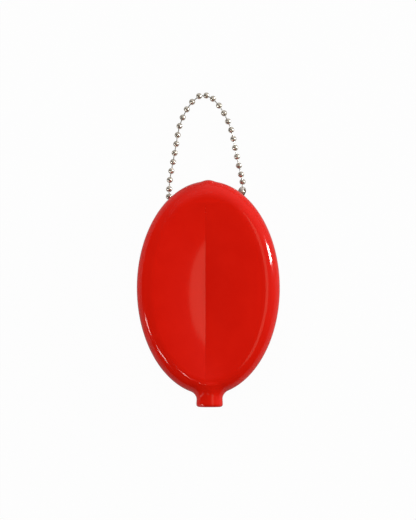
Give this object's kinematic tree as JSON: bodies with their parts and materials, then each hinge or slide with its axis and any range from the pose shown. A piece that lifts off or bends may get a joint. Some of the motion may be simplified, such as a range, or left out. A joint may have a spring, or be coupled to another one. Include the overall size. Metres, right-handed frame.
{
  "type": "squeeze coin purse",
  "caption": "Oval squeeze coin purse moulded in soft glossy plastic, with a slit between two sprung lips and a ball chain loop threaded through its back.",
  "frame": {"origin": "centre of the flat patch on the back that the purse rests on", "axes": "+X across the purse to the right, +Y along it from the neck towards the chain, +Z out of the front face with the slit"},
  "size_m": [0.0564, 0.1244, 0.0155],
  "materials": {
    "vinyl": "glossy, smooth, dip moulded",
    "nickel": "bright nickel plate"
  },
  "bodies": {
    "pouch": {"pouch_back": "vinyl", "connector": "nickel", "connector_beads": "nickel", "inner_beads": "nickel", "inner_links": "nickel", "bead_01": "nickel", "link_01": "nickel", "link_25": "nickel"},
    "left_lip": {"left_lip": "vinyl"},
    "right_lip": {"right_lip": "vinyl"},
    "loop_row_01": {"bead_02": "nickel", "link_02": "nickel", "bead_25": "nickel", "link_24": "nickel"},
    "loop_row_02": {"bead_03": "nickel", "link_03": "nickel", "bead_24": "nickel", "link_23": "nickel"},
    "loop_row_03": {"bead_04": "nickel", "link_04": "nickel", "bead_23": "nickel", "link_22": "nickel"},
    "loop_row_04": {"bead_05": "nickel", "link_05": "nickel", "bead_22": "nickel", "link_21": "nickel"},
    "loop_row_05": {"bead_06": "nickel", "link_06": "nickel", "bead_21": "nickel", "link_20": "nickel"},
    "loop_row_06": {"bead_07": "nickel", "link_07": "nickel", "bead_20": "nickel", "link_19": "nickel"},
    "loop_row_07": {"bead_08": "nickel", "link_08": "nickel", "bead_19": "nickel", "link_18": "nickel"},
    "loop_row_08": {"bead_09": "nickel", "link_09": "nickel", "bead_18": "nickel", "link_17": "nickel"},
    "loop_row_09": {"bead_10": "nickel", "link_10": "nickel", "bead_17": "nickel", "link_16": "nickel"},
    "loop_crown": {"bead_11": "nickel", "bead_12": "nickel", "bead_13": "nickel", "bead_14": "nickel", "bead_15": "nickel", "bead_16": "nickel", "link_11": "nickel", "link_12": "nickel", "link_13": "nickel", "link_14": "nickel", "link_15": "nickel"}
  },
  "joints": [
    {"name": "left_lip_open", "type": "hinge", "parent": "pouch", "child": "left_lip", "pos_m": [-0.0219, -0.0024, 0.0155], "axis": [0, -1, 0], "range_deg": [0, 45], "stiffness_Nm_per_rad": 0.02},
    {"name": "right_lip_open", "type": "hinge", "parent": "pouch", "child": "right_lip", "pos_m": [0.0189, -0.0024, 0.0155], "axis": [0, 1, 0], "range_deg": [0, 45], "stiffness_Nm_per_rad": 0.02},
    {"name": "loop_lift_01", "type": "hinge", "parent": "pouch", "child": "loop_row_01", "pos_m": [-0.01554, 0.03866, 0.0012], "axis": [0.9951, 0.0986, 0.0015], "range_deg": [0, 12]},
    {"name": "loop_lift_02", "type": "hinge", "parent": "loop_row_01", "child": "loop_row_02", "pos_m": [-0.0153, 0.04227, 0.0012], "axis": [0.9971, 0.076, 0], "range_deg": [0, 12]},
    {"name": "loop_lift_03", "type": "hinge", "parent": "loop_row_02", "child": "loop_row_03", "pos_m": [-0.01474, 0.04584, 0.0012], "axis": [0.997, 0.078, 0], "range_deg": [0, 12]},
    {"name": "loop_lift_04", "type": "hinge", "parent": "loop_row_03", "child": "loop_row_04", "pos_m": [-0.01406, 0.0494, 0.0012], "axis": [0.9967, 0.0817, 0], "range_deg": [0, 12]},
    {"name": "loop_lift_05", "type": "hinge", "parent": "loop_row_04", "child": "loop_row_05", "pos_m": [-0.01342, 0.05296, 0.0012], "axis": [0.9963, 0.0855, 0], "range_deg": [0, 12]},
    {"name": "loop_lift_06", "type": "hinge", "parent": "loop_row_05", "child": "loop_row_06", "pos_m": [-0.01278, 0.05652, 0.0012], "axis": [0.9959, 0.0899, 0], "range_deg": [0, 12]},
    {"name": "loop_lift_07", "type": "hinge", "parent": "loop_row_06", "child": "loop_row_07", "pos_m": [-0.01223, 0.0601, 0.0012], "axis": [0.9957, 0.0931, 0], "range_deg": [0, 12]},
    {"name": "loop_lift_08", "type": "hinge", "parent": "loop_row_07", "child": "loop_row_08", "pos_m": [-0.01152, 0.06365, 0.0012], "axis": [0.9955, 0.0952, 0], "range_deg": [0, 12]},
    {"name": "loop_lift_09", "type": "hinge", "parent": "loop_row_08", "child": "loop_row_09", "pos_m": [-0.01032, 0.06706, 0.0012], "axis": [0.9947, 0.1024, 0], "range_deg": [0, 12]},
    {"name": "loop_lift_10", "type": "hinge", "parent": "loop_row_09", "child": "loop_crown", "pos_m": [-0.00875, 0.07031, 0.0012], "axis": [0.9933, 0.1153, 0], "range_deg": [0, 12]}
  ],
  "couplings": [
    {"joint": "right_lip_open", "follows": "left_lip_open", "ratio": 1},
    {"joint": "loop_lift_02", "follows": "loop_lift_01", "ratio": 1},
    {"joint": "loop_lift_03", "follows": "loop_lift_01", "ratio": 1},
    {"joint": "loop_lift_04", "follows": "loop_lift_01", "ratio": 1},
    {"joint": "loop_lift_05", "follows": "loop_lift_01", "ratio": 1},
    {"joint": "loop_lift_06", "follows": "loop_lift_01", "ratio": 1},
    {"joint": "loop_lift_07", "follows": "loop_lift_01", "ratio": 1},
    {"joint": "loop_lift_08", "follows": "loop_lift_01", "ratio": 1},
    {"joint": "loop_lift_09", "follows": "loop_lift_01", "ratio": 1},
    {"joint": "loop_lift_10", "follows": "loop_lift_01", "ratio": 1}
  ]
}
